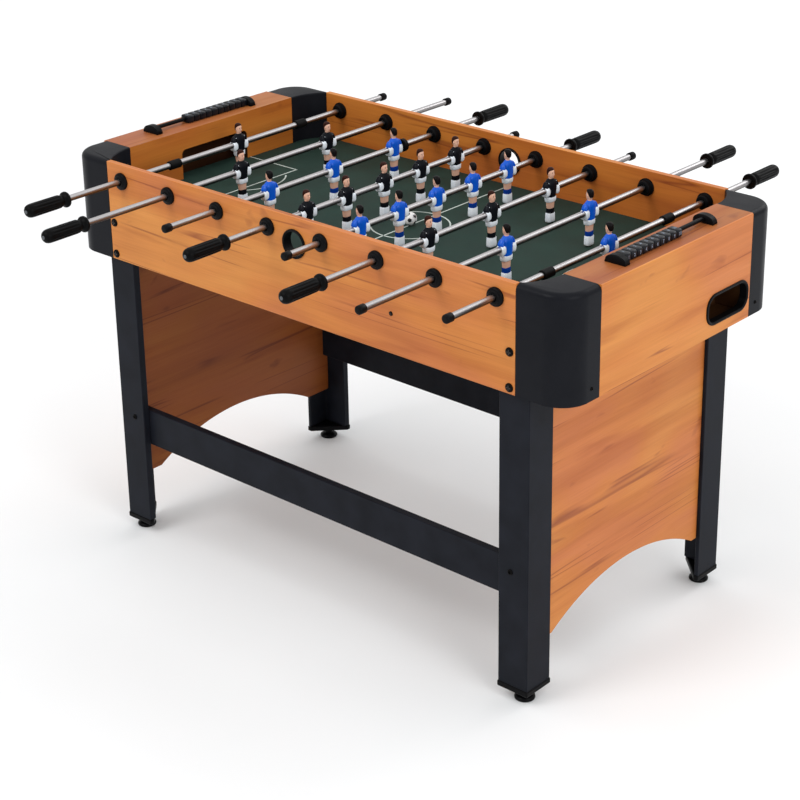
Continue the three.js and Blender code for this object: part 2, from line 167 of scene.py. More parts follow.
class Paint:
    """A Principled material, with short calls for the nodes that vary its surface."""

    def __init__(self, name, color, roughness, **sockets):
        self.material = bpy.data.materials.new(name)
        self.material.use_nodes = True
        self.tree = self.material.node_tree
        self.shader = self.tree.nodes["Principled BSDF"]
        self.shader.inputs["Base Color"].default_value = (*color, 1)
        self.shader.inputs["Roughness"].default_value = roughness
        for key, value in sockets.items():
            self.shader.inputs[key.replace("_", " ")].default_value = value
        self.coords = self.add("ShaderNodeTexCoord").outputs["Object"]

    def add(self, kind):
        return self.tree.nodes.new(kind)

    def link(self, source, target):
        self.tree.links.new(source, target)

    def set(self, socket, source):
        self.link(source, self.shader.inputs[socket])

    def mapped(self, stretch, offset=(0, 0, 0)):
        mapping = self.add("ShaderNodeMapping")
        mapping.inputs["Scale"].default_value = stretch
        mapping.inputs["Location"].default_value = offset
        self.link(self.coords, mapping.inputs["Vector"])
        return mapping.outputs["Vector"]

    def noise(self, stretch, detail=3, distortion=0.0, offset=(0, 0, 0), rough=0.5):
        noise = self.add("ShaderNodeTexNoise")
        noise.inputs["Scale"].default_value = 1
        noise.inputs["Detail"].default_value = detail
        noise.inputs["Roughness"].default_value = rough
        noise.inputs["Distortion"].default_value = distortion
        self.link(self.mapped(stretch, offset), noise.inputs["Vector"])
        return noise.outputs["Fac"]

    def ramp(self, source, stops):
        ramp = self.add("ShaderNodeValToRGB")
        elements = ramp.color_ramp.elements
        while len(elements) < len(stops):
            elements.new(0.5)
        for element, (place, color) in zip(elements, stops):
            element.position = place
            element.color = (*color, 1)
        self.link(source, ramp.inputs["Fac"])
        return ramp.outputs["Color"]

    def level(self, source, low, high, start=0.3, end=0.7):
        """The source's values from start to end, spread from low to high."""
        remap = self.add("ShaderNodeMapRange")
        for key, value in zip(("From Min", "From Max", "To Min", "To Max"),
                              (start, end, low, high)):
            remap.inputs[key].default_value = value
        self.link(source, remap.inputs["Value"])
        return remap.outputs["Result"]

    def mix(self, first, second, factor, blend="MIX"):
        """Mixes two colours. Sockets 0, 6 and 7 of the node are the factor and the colours."""
        mix = self.add("ShaderNodeMix")
        mix.data_type = "RGBA"
        mix.blend_type = blend
        for value, socket in ((factor, 0), (first, 6), (second, 7)):
            if isinstance(value, bpy.types.NodeSocket):
                self.link(value, mix.inputs[socket])
            else:
                mix.inputs[socket].default_value = value if socket == 0 else (*value, 1)
        return mix.outputs[2]

    def product(self, first, second):
        node = self.add("ShaderNodeMath")
        node.operation = "MULTIPLY"
        node.use_clamp = True
        self.link(first, node.inputs[0])
        self.link(second, node.inputs[1])
        return node.outputs["Value"]

    def ridge(self, source, centre, width):
        """1 where the source crosses the centre value, 0 further than width from it."""
        rise = self.level(source, 0.0, 1.0, centre - width, centre)
        fall = self.level(source, 1.0, 0.0, centre, centre + width)
        return self.product(rise, fall)

    def bump(self, height, strength, distance):
        bump = self.add("ShaderNodeBump")
        bump.inputs["Strength"].default_value = strength
        bump.inputs["Distance"].default_value = distance
        self.link(height, bump.inputs["Height"])
        self.set("Normal", bump.outputs["Normal"])


WOOD_PALE = (0.600, 0.232, 0.052)
WOOD_MID = (0.565, 0.196, 0.044)
WOOD_PINK = (0.540, 0.176, 0.052)
WOOD_STREAK = (0.330, 0.078, 0.026)
WOOD_KNOT = (0.200, 0.040, 0.018)


def wood(name, along, seed, tone=(1.0, 1.0, 1.0)):
    """Orange wood-effect laminate: broad pale and pinkish zones, soft red-brown streaks, small
    knots and a few fine dark lines. The grain runs along axis 0 or 1. The tone scales every
    colour: a slight real tint, or painted shade for the darker copies on shaded faces."""

    def stretch(length, across):
        scale = [across, across, across]
        scale[along] = length
        return scale

    def toned(color):
        return tuple(c * t for c, t in zip(color, tone))

    shift = (seed * 3.7, seed * 1.9, seed * 2.3)
    turned = (shift[1], shift[2], shift[0])
    paint = Paint(name, toned(WOOD_PALE), 0.42, Specular_IOR_Level=0.2)
    zones = paint.noise(stretch(2.2, 7.0), 2, 0.4, shift)
    bands = paint.noise(stretch(1.2, 24.0), 3, 0.25, turned)
    haze = paint.noise(stretch(2.6, 30.0), 3, 0.2, turned, 0.55)
    knots = paint.noise(stretch(13.0, 28.0), 2, 0.4, shift)
    fibre = paint.noise(stretch(9.0, 420.0), 3, 0.1, shift, 0.6)
    rings = paint.noise(stretch(0.45, 17.0), 2, 0.1, turned)
    patch = paint.noise(stretch(5.0, 16.0), 1, 0.0, shift)
    color = paint.ramp(zones, [(0.38, toned(WOOD_PINK)), (0.50, toned(WOOD_MID)),
                               (0.62, toned(WOOD_PALE))])
    tint = paint.ramp(bands, [(0.34, (0.86, 0.80, 0.76)), (0.50, (1.0, 1.0, 1.0)),
                              (0.66, (1.06, 1.10, 1.14))])
    color = paint.mix(color, tint, 1.0, "MULTIPLY")
    color = paint.mix(color, toned(WOOD_STREAK), paint.level(haze, 0.0, 0.40, 0.575, 0.72))
    color = paint.mix(color, toned(WOOD_KNOT), paint.level(knots, 0.0, 0.50, 0.690, 0.800))
    fine = paint.product(paint.ridge(rings, 0.5, 0.010), paint.level(patch, 0.0, 0.70, 0.46, 0.58))
    color = paint.mix(color, toned(WOOD_KNOT), fine)
    grain = paint.ramp(fibre, [(0.3, (0.93, 0.91, 0.89)), (0.7, (1.03, 1.03, 1.03))])
    color = paint.mix(color, grain, 1.0, "MULTIPLY")
    paint.set("Base Color", color)
    paint.set("Roughness", paint.level(haze, 0.38, 0.50))
    paint.bump(fibre, 0.10, 0.0002)
    return paint.material


def speckled(name, color, roughness, grain=900.0, depth=0.0002, lift=0.25, **sockets):
    """A moulded or coated surface: faint mottling, uneven gloss and a fine texture."""
    paint = Paint(name, color, roughness, **sockets)
    mottle = paint.noise((18, 18, 18), 3)
    light = tuple(min(1, c * (1 + lift) + 0.0008) for c in color)
    dark = tuple(c * (1 - lift) for c in color)
    paint.set("Base Color", paint.ramp(mottle, [(0.3, dark), (0.7, light)]))
    paint.set("Roughness", paint.level(mottle, roughness - 0.05, roughness + 0.06))
    paint.bump(paint.noise((grain, grain, grain), 2), 0.25, depth)
    return paint.material


WOOD_SIDE = wood("wood_side", 0, 1)
WOOD_END = wood("wood_end", 1, 2)
# Painted shade: the ledge top is toned darker, as if little light falls on it from above.
WOOD_LEDGE_SHADED = wood("wood_ledge_shaded", 1, 7, (0.66, 0.62, 0.76))
WOOD_PANEL = wood("wood_panel", 1, 5, (0.98, 0.97, 1.02))
# Painted shade: the inner faces of the side boards, darker and more orange as in the shade inside
# the cabinet.
WOOD_INSIDE_SHADED = wood("wood_inside_shaded", 0, 3, (0.93, 0.80, 0.56))
# Painted shade: the end box face towards the field, darker as in the shade over the field.
GOAL_WALL_SHADED = wood("goal_wall_shaded", 1, 8, (0.86, 0.74, 0.52))
# Painted shade: the inner face of an end panel, darker as in the shade under the table.
PANEL_INSIDE_SHADED = wood("panel_inside_shaded", 1, 4, (0.50, 0.42, 0.38))
# Painted shade: near-black wood inside the end boxes, standing in for the shade in the cavity
# behind the goal mouth and return pocket.
BOX_INSIDE_SHADED = wood("box_inside_shaded", 1, 6, (0.10, 0.11, 0.18))
DULL = {"Specular_IOR_Level": 0.07}
BOARD_BLACK = speckled("board_black", (0.0095, 0.0108, 0.0155), 0.42, 700, 0.0002, **DULL)
CAP_BLACK = speckled("cap_black", (0.0082, 0.0088, 0.0116), 0.34, 1100, 0.0003, 0.08,
                     Specular_IOR_Level=0.06)
PLASTIC = speckled("plastic_black", (0.0028, 0.0028, 0.0034), 0.38, 1400, 0.0002, **DULL)
RUBBER = speckled("rubber_black", (0.0028, 0.0028, 0.0030), 0.50, 1600, 0.0002, **DULL)
GRIP = speckled("grip_black", (0.0008, 0.0009, 0.0011), 0.42, 1800, 0.0002, **DULL)
PLUG = speckled("grip_plug", (0.10, 0.11, 0.12), 0.35, 900, 0.0001, Metallic=0.7)
SCREW = speckled("screw_dark", (0.0016, 0.0012, 0.0012), 0.50, 900, 0.0001, **DULL)
SLOT = speckled("bolt_slot", (0.012, 0.006, 0.004), 0.45, 900, 0.0001)
FIELD = speckled("field_green", (0.0205, 0.0420, 0.0335), 0.55, 600, 0.0002, 0.14, **DULL)
FIELD_EDGE = speckled("field_board", (0.20, 0.12, 0.065), 0.8, 500, 0.0003)
LINES = speckled("field_lines", (0.50, 0.56, 0.52), 0.5)
WHITE = speckled("figure_white", (0.80, 0.86, 0.92), 0.3, lift=0.04, Coat_Weight=0.2)
SKIN = speckled("figure_skin", (0.78, 0.46, 0.33), 0.38, lift=0.05, Coat_Weight=0.1)
BLUE = speckled("figure_blue", (0.001, 0.095, 0.60), 0.3, lift=0.12, Specular_IOR_Level=0.25)
SOCK = speckled("figure_sock", (0.002, 0.035, 0.25), 0.4, lift=0.12, **DULL)
BLACK = speckled("figure_black", (0.0050, 0.0060, 0.0090), 0.3, lift=0.2, **DULL)
HAIR_BROWN = speckled("hair_brown", (0.030, 0.008, 0.005), 0.4, 700, 0.0005, **DULL)
HAIR_BLACK = speckled("hair_black", (0.0055, 0.0045, 0.0050), 0.4, 700, 0.0005, **DULL)
FEATURES = speckled("figure_eyes", (0.02, 0.015, 0.015), 0.3)
LIPS = speckled("figure_lips", (0.45, 0.13, 0.10), 0.4)
BEAD = speckled("bead_black", (0.0045, 0.0055, 0.0085), 0.3, 900, 0.0001, Specular_IOR_Level=0.2)
DIGIT = speckled("digit_white", (0.26, 0.32, 0.42), 0.5)
BALL_WHITE = speckled("ball_white", (0.80, 0.80, 0.79), 0.25, lift=0.03, Coat_Weight=0.4)
BALL_BLACK = speckled("ball_black", (0.010, 0.010, 0.011), 0.25, Coat_Weight=0.4)


def chrome():
    """Plated tube: bright above, dark below where it mirrors the table under it. The ramp runs
    over the height of the tube, from its lowest line to its highest."""
    paint = Paint("chrome_tube", (0.62, 0.61, 0.61), 0.24, Metallic=1.0)
    split = paint.add("ShaderNodeSeparateXYZ")
    paint.link(paint.coords, split.inputs["Vector"])
    height = paint.level(split.outputs["Z"], 0.0, 1.0, -ROD_RADIUS, ROD_RADIUS)
    shade = paint.ramp(height, [(0.18, (0.045, 0.040, 0.038)), (0.38, (0.11, 0.10, 0.095)),
                                (0.58, (0.34, 0.325, 0.325)), (0.80, (0.46, 0.445, 0.45))])
    tone = paint.ramp(paint.noise((60, 9, 60), 2), [(0.3, (0.90, 0.90, 0.90)), (0.7, (1, 1, 1))])
    paint.set("Base Color", paint.mix(shade, tone, 1.0, "MULTIPLY"))
    paint.set("Roughness", paint.level(paint.noise((30, 12, 30), 2), 0.26, 0.36))
    return paint.material


CHROME = chrome()

# ---------- mesh helpers


def place(name, mesh, body, slot, replaces=(), matrix=None, bevel=0.0, segments=2):
    """Links a mesh as a piece that rides on a body."""
    piece = bpy.data.objects.new(name, mesh)
    bpy.context.scene.collection.objects.link(piece)
    if matrix is not None:
        piece.matrix_world = matrix
    if bevel:
        edge = piece.modifiers.new("edge", "BEVEL")
        edge.width = bevel
        edge.segments = segments
        edge.limit_method = "ANGLE"
        edge.angle_limit = math.radians(40)
        edge.face_strength_mode = "FSTR_ALL"
        flat = piece.modifiers.new("flat", "WEIGHTED_NORMAL")
        flat.keep_sharp = True
        flat.use_face_influence = True
    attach(piece, body)
    if replaces:
        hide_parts(*replaces)


def to_mesh(name, bm, materials, sharp=38):
    bmesh.ops.recalc_face_normals(bm, faces=bm.faces)
    mesh = bpy.data.meshes.new(name)
    bm.to_mesh(mesh)
    bm.free()
    for polygon in mesh.polygons:
        polygon.use_smooth = True
    mesh.set_sharp_from_angle(angle=math.radians(sharp))
    for material in materials:
        mesh.materials.append(material)
    return mesh


def loft(bm, rings, material=0, capped=True, wrap=False):
    """Skins a list of rings of points; wrap joins the last ring to the first."""
    loops = [[bm.verts.new(point) for point in ring] for ring in rings]
    pairs = list(zip(loops, loops[1:])) + ([(loops[-1], loops[0])] if wrap else [])
    faces = []
    for first, second in pairs:
        for i in range(len(first)):
            faces.append(bm.faces.new((first[i - 1], first[i], second[i], second[i - 1])))
    if capped and not wrap:
        faces += [bm.faces.new(loops[0]), bm.faces.new(loops[-1])]
    for face in faces:
        face.material_index = material


def circle(radius, count):
    return [(radius * math.cos(math.tau * i / count), radius * math.sin(math.tau * i / count))
            for i in range(count)]


def lathe(bm, profile, centre=(0, 0, 0), count=32, material=0, wrap=False, flutes=0, flip=1):
    """A body of revolution along Y; profile holds (radius, y) or (radius, y, flute depth)."""
    rings = []
    for radius, y, *depth in profile:
        ring = []
        for i in range(count):
            turn = math.tau * i / count
            cut = depth[0] * (0.5 + 0.5 * math.cos(flutes * turn)) ** 2 if depth else 0
            reach = radius - cut
            ring.append((centre[0] + reach * math.cos(turn), centre[1] + flip * y,
                         centre[2] + reach * math.sin(turn)))
        rings.append(ring)
    loft(bm, rings, material, wrap=wrap)


def spread(axis):
    """Turns two outline numbers and a height along axis into a point."""
    return {"X": lambda a, b, c: (c, a, b), "Y": lambda a, b, c: (a, c, b),
            "Z": lambda a, b, c: (a, b, c)}[axis]


def inset(outline, depth):
    """An anticlockwise outline moved inwards by a depth."""
    points = []
    for i, point in enumerate(outline):
        before = (Vector(point) - Vector(outline[i - 1])).normalized()
        after = (Vector(outline[(i + 1) % len(outline)]) - Vector(point)).normalized()
        inward = Vector((-before.y - after.y, before.x + after.x)) / (1 + before.dot(after))
        points.append(tuple(Vector(point) + inward * depth))
    return points


def plate(bm, outline, low, high, axis, holes=(), material=0, chamfer=0.0):
    """A flat outline with holes, raised from low to high along an axis; the outline can have
    chamfered edges."""
    point = spread(axis)
    levels = []
    small = inset(outline, chamfer) if chamfer else outline
    for level in (low, high):
        loops = [[bm.verts.new(point(u, v, level)) for u, v in loop] for loop in (small, *holes)]
        edges = [bm.edges.new((loop[i - 1], loop[i])) for loop in loops for i in range(len(loop))]
        filled = bmesh.ops.triangle_fill(bm, edges=edges, use_beauty=True)
        for item in filled["geom"]:
            if isinstance(item, bmesh.types.BMFace):
                item.material_index = material
        levels.append(loops)
    walls = list(zip(*levels))
    if chamfer:
        first, last = walls.pop(0)
        sides = [[bm.verts.new(point(u, v, level)) for u, v in outline]
                 for level in (low + chamfer, high - chamfer)]
        walls += [(first, sides[0]), tuple(sides), (sides[1], last)]
    for first, second in walls:
        for i in range(len(first)):
            face = bm.faces.new((first[i - 1], first[i], second[i], second[i - 1]))
            face.material_index = material


def block(bm, low, high, material=0):
    outline = [(low[0], low[1]), (high[0], low[1]), (high[0], high[1]), (low[0], high[1])]
    loft(bm, [[(x, y, z) for x, y in outline] for z in (low[2], high[2])], material)


def repaint(bm, index, test):
    """Gives another material to the faces whose middle passes a test."""
    for face in bm.faces:
        if test(face.calc_center_median()):
            face.material_index = index


def arc(cx, cy, radius, start, end, count, rise=None):
    """Points from one angle in degrees to another; an ellipse has a rise beside its radius."""
    turns = [math.radians(start + (end - start) * i / count) for i in range(count + 1)]
    return [(cx + radius * math.cos(turn), cy + (rise or radius) * math.sin(turn))
            for turn in turns]


def rounded(half_x, half_y, radius, count, centre=(0, 0)):
    """A rectangle with rounded corners, anticlockwise."""
    points = []
    for quarter, (sx, sy) in enumerate(((1, 1), (-1, 1), (-1, -1), (1, -1))):
        points += arc(centre[0] + sx * (half_x - radius), centre[1] + sy * (half_y - radius),
                      radius, 90 * quarter, 90 * quarter + 90, count)
    return points


def facing(side):
    """No turn for side 1 and half a turn about Z for side -1."""
    return Matrix.Identity(4) if side > 0 else Matrix.Rotation(math.pi, 4, "Z")


def mirrored(points, sx, sy):
    flipped = [(sx * x, sy * y) for x, y in points]
    return flipped if sx * sy > 0 else flipped[::-1]


# ---------- camera, light and floor


def softbox(name, location, target, size, power):
    light = bpy.data.lights.new(name, "AREA")
    light.shape = "RECTANGLE"
    light.size, light.size_y = size
    light.energy = power
    lamp = bpy.data.objects.new(name, light)
    lamp.location = location
    lamp.rotation_euler = (Vector(target) - Vector(location)).to_track_quat("-Z", "Y").to_euler()
    lamp.visible_camera = False
    bpy.context.scene.collection.objects.link(lamp)


def paper_material():
    """White paper with painted shade: a little greyer within a few metres of the table than far
    from it.
    """
    paper = Paint("paper", (0.95, 0.95, 0.95), 0.9, Specular_IOR_Level=0.1)
    tone = paper.noise((2, 2, 2), 2)
    fade = paper.add("ShaderNodeTexGradient")
    fade.gradient_type = "SPHERICAL"
    paper.link(paper.mapped((0.2, 0.2, 0.2)), fade.inputs["Vector"])
    # Painted shade: the paper is darker near the table.
    near = paper.ramp(fade.outputs["Fac"], [(0.1, (1.0, 1.0, 1.0)), (0.6, (0.910, 0.916, 0.920))])
    tone = paper.ramp(tone, [(0.3, (0.94, 0.945, 0.95)), (0.7, (0.955, 0.96, 0.965))])
    paper.set("Base Color", paper.mix(tone, near, 1.0, "MULTIPLY"))
    return paper.material


def studio():
    scene = bpy.context.scene
    lens = bpy.data.cameras.new("camera")
    lens.lens = CAMERA_LENS
    lens.sensor_width = 36
    lens.shift_x, lens.shift_y = CAMERA_SHIFT
    lens.clip_end = 60
    camera = bpy.data.objects.new("camera", lens)
    camera.location = CAMERA_PLACE
    camera.rotation_euler = tuple(math.radians(turn) for turn in CAMERA_TURN)
    scene.collection.objects.link(camera)
    scene.camera = camera

    world = bpy.data.worlds.new("studio")
    world.use_nodes = True
    sky = world.node_tree.nodes["Background"]
    sky.inputs["Color"].default_value = (1.0, 1.0, 1.0, 1)
    sky.inputs["Strength"].default_value = SKY_STRENGTH
    scene.world = world
    for box in SOFTBOXES:
        softbox(*box)

    bm = bmesh.new()
    block(bm, (-FLOOR_HALF, -FLOOR_HALF, -FLOOR_THICK), (FLOOR_HALF, FLOOR_HALF, 0))
    floor = bpy.data.objects.new("floor", to_mesh("floor", bm, [paper_material()]))
    scene.collection.objects.link(floor)
    scene.view_settings.view_transform = "Standard"


studio()

# ---------- cabinet


def side_boards():
    for word, low, high in (("front", FRONT_LOW, FRONT_HIGH), ("back", BACK_LOW, BACK_HIGH)):
        bm = bmesh.new()
        outline = [(low.x, low.z), (high.x, low.z), (high.x, high.z), (low.x, high.z)]
        holes = []
        for rod, _, _ in RODS:
            x, z = rod_axis(rod)
            holes.append([(x + u, z + v) for u, v in circle(ROD_HOLE, 40)])
        holes.append([(u, ENTRY_Z + v) for u, v in circle(ENTRY_RADIUS, 64)])
        plate(bm, outline, low.y, high.y, "Y", holes, chamfer=BOARD_CHAMFER)
        # Inner faces get the darker, more orange wood: painted shade.
        repaint(bm, 1, lambda middle: abs(middle.y) < INNER_Y + CLOSE)
        node = "side_board_" + word
        place("board_" + word, to_mesh(node, bm, [WOOD_SIDE, WOOD_INSIDE_SHADED]), "cabinet",
              "wood_board", [node])


def carved(name, solid, cutters, materials):
    """A mesh of the solid with the cutters taken out of it."""
    shell = bpy.data.objects.new("shell", to_mesh(name, solid, materials))
    tools = [bpy.data.objects.new("tool", to_mesh("tool", cutter, materials)) for cutter in cutters]
    for item in (shell, *tools):
        bpy.context.scene.collection.objects.link(item)
    for tool in tools:
        cut = shell.modifiers.new("cut", "BOOLEAN")
        cut.operation = "DIFFERENCE"
        cut.object = tool
        cut.solver = "EXACT"
    bpy.context.view_layer.update()
    graph = bpy.context.evaluated_depsgraph_get()
    mesh = bpy.data.meshes.new_from_object(shell.evaluated_get(graph))
    for item in (shell, *tools):
        bpy.data.objects.remove(item)
    return mesh


def goal_outline(bottom):
    crown = FIELD_Z + GOAL_HEIGHT - GOAL_ROUND
    half = GOAL_HALF - GOAL_ROUND
    points = [(-GOAL_HALF, bottom), (GOAL_HALF, bottom)]
    points += arc(half, crown, GOAL_ROUND, 0, 90, 10)
    return points + arc(-half, crown, GOAL_ROUND, 90, 180, 10)


def end_boxes():
    reach = END_HIGH.y
    outline = [(INNER_X, RAIL_BOTTOM), (HALF_X, RAIL_BOTTOM)]
    outline += arc(HALF_X - LEDGE_ROUND, TOP - LEDGE_ROUND, LEDGE_ROUND, 0, 90, 14)
    outline += [(INNER_X, TOP)]
    width, height, corner = RETURN_HALF
    past = 0.01  # a cutter reaches this far past the faces it cuts
    for word, side in ENDS:
        solid, cavity, mouth, pocket = (bmesh.new() for _ in range(4))
        plate(solid, outline, -reach, reach, "Y")
        block(cavity, (INNER_X + BOARD, BOX_WALL - reach, RAIL_BOTTOM + BOARD),
              (HALF_X - BOARD, reach - BOX_WALL, TOP - LEDGE_THICK))
        plate(mouth, goal_outline(FIELD_LOW.z - GAP), INNER_X - past, INNER_X + BOARD + past, "X")
        plate(pocket, rounded(width, height, corner, 12, RETURN_CENTRE), HALF_X - BOARD - past,
              HALF_X + past, "X")
        mesh = carved("end_box_" + word, solid, (cavity, mouth, pocket),
                      [WOOD_END, BOX_INSIDE_SHADED, WOOD_LEDGE_SHADED, GOAL_WALL_SHADED])
        for face in mesh.polygons:
            x, y, z = face.center
            # Faces inside the cavity get the near-black wood: painted shade.
            if (INNER_X + CLOSE < x < HALF_X - CLOSE and abs(y) < reach - CLOSE
                    and RAIL_BOTTOM + CLOSE < z < TOP - LEDGE_THICK + CLOSE):
                face.material_index = 1
            # The ledge top gets the darker wood: painted shade.
            elif z > TOP - CLOSE:
                face.material_index = 2
            # The face towards the field gets the darker wood: painted shade.
            elif x < INNER_X + CLOSE:
                face.material_index = 3
        mesh.transform(facing(side))
        place("box_" + word, mesh, "cabinet", "wood_board", ["end_box_" + word],
              bevel=BOARD_CHAMFER)


def fillet_rings(points, top, low, steps=7):
    """Rings from the foot of a wall to its filleted top edge. Each point is (x, y, inset x,
    inset y, radius): the rounding moves it by its inset and takes its radius off the height."""
    rings = [[(x, y, low) for x, y, _, _, _ in points]]
    for step in range(steps + 1):
        angle = math.pi / 2 * step / steps
        inward, down = 1 - math.cos(angle), 1 - math.sin(angle)
        rings.append([(x + dx * inward, y + dy * inward, top - r * down)
                      for x, y, dx, dy, r in points])
    return rings


def corner_caps():
    """A corner cap has a round outside with a filleted top edge and a hollow inner curve."""
    outer, inner = 0.0115, 0.0028
    end_y, end_x = CAP_LOW.y, CAP_LOW.x
    centre = (HALF_X - CAP_ROUND, HALF_Y - CAP_ROUND)
    points = [(INNER_X, end_y, inner, 0, inner), (HALF_X, end_y, -outer, 0, outer)]
    for i in range(25):
        turn = math.pi / 2 * i / 24
        c, s = math.cos(turn), math.sin(turn)
        points.append((centre[0] + CAP_ROUND * c, centre[1] + CAP_ROUND * s,
                       -outer * c, -outer * s, outer))
    points += [(end_x, HALF_Y, 0, -outer, outer), (end_x, INNER_Y, 0, inner, inner)]
    run, rise = INNER_X - end_x, INNER_Y - end_y
    bend = (run ** 2 + rise ** 2) / (2 * run)
    sweep = math.asin(rise / bend)
    for i in range(1, 20):
        turn = sweep * (1 - i / 20)
        c, s = math.cos(turn), math.sin(turn)
        points.append((INNER_X - bend + bend * c, end_y + bend * s, inner * c, inner * s, inner))
    wall = [(HALF_X - BOARD, end_y), (HALF_X, end_y)]
    wall += arc(*centre, CAP_ROUND, 0, 90, 24)
    wall += [(end_x, HALF_Y), (end_x, HALF_Y - BOARD)]
    wall += arc(*centre, CAP_ROUND - BOARD, 90, 0, 24)
    for corner, sx, sy in CORNERS:
        bm = bmesh.new()
        loft(bm, fillet_rings(points, TOP, FIELD_Z + GAP))
        plate(bm, wall, RAIL_BOTTOM, FIELD_Z + GAP, "Z")
        for vert in bm.verts:
            vert.co.x *= sx
            vert.co.y *= sy
        node = "corner_cap_" + corner
        place("cap_" + corner, to_mesh(node, bm, [CAP_BLACK], 50), "cabinet", "black_plastic",
              [node])


def playfield():
    slack = 0.001
    edge_x, edge_y = INNER_X - slack, FIELD_HIGH.y
    tab = GOAL_HALF - slack
    outline = [(edge_x, -tab), (FIELD_HIGH.x, -tab), (FIELD_HIGH.x, tab), (edge_x, tab),
               (edge_x, edge_y), (-edge_x, edge_y)]
    outline += [(-x, -y) for x, y in outline[:4]] + [(-edge_x, -edge_y), (edge_x, -edge_y)]
    bm = bmesh.new()
    plate(bm, outline, FIELD_LOW.z, FIELD_HIGH.z, "Z", material=1)
    repaint(bm, 0, lambda middle: middle.z > FIELD_Z - CLOSE)
    place("field", to_mesh("playfield", bm, [FIELD, FIELD_EDGE]), "cabinet", "field_board",
          ["playfield"])

    cx, cy = MARK_CENTRE
    height = FIELD_Z + MARK_LIFT
    bm = bmesh.new()

    def stroke(points, closed=False):
        """A painted line of even width through points in the plane of the field."""
        left, right = [], []
        count = len(points)
        for i, point in enumerate(points):
            before = points[i - 1] if i or closed else point
            after = points[(i + 1) % count] if i < count - 1 or closed else point
            along = (Vector(after) - Vector(before)).normalized()
            across = Vector((-along.y, along.x)) * MARK_WIDTH / 2
            left.append(bm.verts.new((point[0] + across.x, point[1] + across.y, height)))
            right.append(bm.verts.new((point[0] - across.x, point[1] - across.y, height)))
        last = count if closed else count - 1
        for i in range(last):
            j = (i + 1) % count
            bm.faces.new((right[i], right[j], left[j], left[i]))

    stroke([(cx, slack - edge_y), (cx, edge_y - slack)])
    stroke([(cx + u, cy + v) for u, v in circle(CIRCLE_RADIUS, 72)], True)
    stroke([(cx + u, cy + v) for u, v in circle(SPOT_RADIUS, 16)], True)
    for side in (-1, 1):
        front, corner = cx + side * BOX_REACH, BOX_HALF + MARK_WIDTH / 2
        for edge in (cy - BOX_HALF, cy + BOX_HALF):
            stroke([(side * edge_x, edge), (front, edge)])
        stroke([(front, cy - corner), (front, cy + corner)])
        spot = cx + side * ARC_REACH[side]
        curve = arc(0, 0, ARC_RADIUS, -ARC_SWEEP, ARC_SWEEP, 30)
        stroke([(spot - side * u, cy + v) for u, v in curve])
    place("field_lines", to_mesh("field_lines", bm, [LINES]), "cabinet", "field_board")


side_boards()
end_boxes()
corner_caps()
playfield()

# ---------- legs and lower frame


def levelling_foot(bm, x, y):
    """A stem and a pad, drawn plain without thread or ribs, with a nut between."""
    pad = [(0.0172, 0.0), (0.0186, 0.0012), (0.0190, 0.0030), (0.0184, 0.0052), (0.0150, 0.0078),
           (0.0128, 0.0090), (0.0072, 0.0092), (0.0070, 0.0130), (0.0066, 0.0140), (0.0066, 0.0205)]
    rings = [[(x + r * u, y + r * v, z) for u, v in circle(1, 28)] for r, z in pad]
    loft(bm, rings)
    nut = [(x + u, y + v) for u, v in circle(0.0105, 6)]
    loft(bm, [[(a, b, z) for a, b in nut] for z in (0.0135, 0.0199)])


def legs():
    out_x, out_y = LEG_HIGH.x - FOOT_PROUD, LEG_HIGH.y - FOOT_PROUD
    in_x, in_y = out_x - LEG_WIDTH, out_y - LEG_WIDTH
    angle = [(out_x, out_y), (in_x, out_y), (in_x, out_y - LEG_FACE),
             (out_x - LEG_FLANK, out_y - LEG_FACE), (out_x - LEG_FLANK, in_y), (out_x, in_y)]
    tip = FOOT_PROUD
    foot = [(out_x + tip, out_y + tip), (in_x - tip, out_y + tip), (in_x - tip, out_y - LEG_FLANK),
            (out_x - LEG_FLANK, in_y - tip), (out_x + tip, in_y - tip)]
    for corner, sx, sy in CORNERS:
        node = "leg_" + corner
        bm = bmesh.new()
        plate(bm, mirrored(angle, sx, sy), LEG_PLATE_TOP, LEG_HIGH.z, "Z")
        place("post_" + corner, to_mesh(node, bm, [BOARD_BLACK]), "cabinet", "black_board", [node],
              bevel=0.0014, segments=3)
        bm = bmesh.new()
        plate(bm, mirrored(foot, sx, sy), LEG_BOTTOM, LEG_PLATE_TOP, "Z")
        place("foot_plate_" + corner, to_mesh("foot_plate", bm, [PLASTIC]), "cabinet",
              "black_board", bevel=0.0022, segments=3)
        bm = bmesh.new()
        levelling_foot(bm, sx * FOOT_X, sy * FOOT_Y)
        place("leveller_" + corner, to_mesh("leveller", bm, [PLASTIC]), "cabinet", "black_board")


def lower_boards():
    for word, _ in LONG_SIDES:
        node = "stretcher_" + word
        low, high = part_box(node)
        bm = bmesh.new()
        block(bm, low, high)
        place("rail_" + word, to_mesh(node, bm, [BOARD_BLACK]), "cabinet", "black_board", [node],
              bevel=0.0012)
    reach, foot = PANEL_HIGH.y, PANEL_LOW.z
    radius = (ARCH_HALF ** 2 + ARCH_RISE ** 2) / (2 * ARCH_RISE)
    sweep = math.degrees(math.asin(ARCH_HALF / radius))
    outline = [(reach, PANEL_HIGH.z), (-reach, PANEL_HIGH.z), (-reach, foot)]
    outline += arc(0, foot + ARCH_RISE - radius, radius, 90 + sweep, 90 - sweep, 48)
    outline += [(reach, foot)]
    for word, _ in ENDS:
        node = "end_panel_" + word
        low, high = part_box(node)
        bm = bmesh.new()
        plate(bm, outline, low.x, high.x, "X")
        # The inner face gets the darker wood: painted shade.
        inside = min(abs(low.x), abs(high.x)) + CLOSE
        repaint(bm, 1, lambda middle: abs(middle.x) < inside)
        place("panel_" + word, to_mesh(node, bm, [WOOD_PANEL, PANEL_INSIDE_SHADED]), "cabinet",
              "wood_board", [node], bevel=BOARD_CHAMFER)


legs()
lower_boards()

# ---------- fittings on the boards


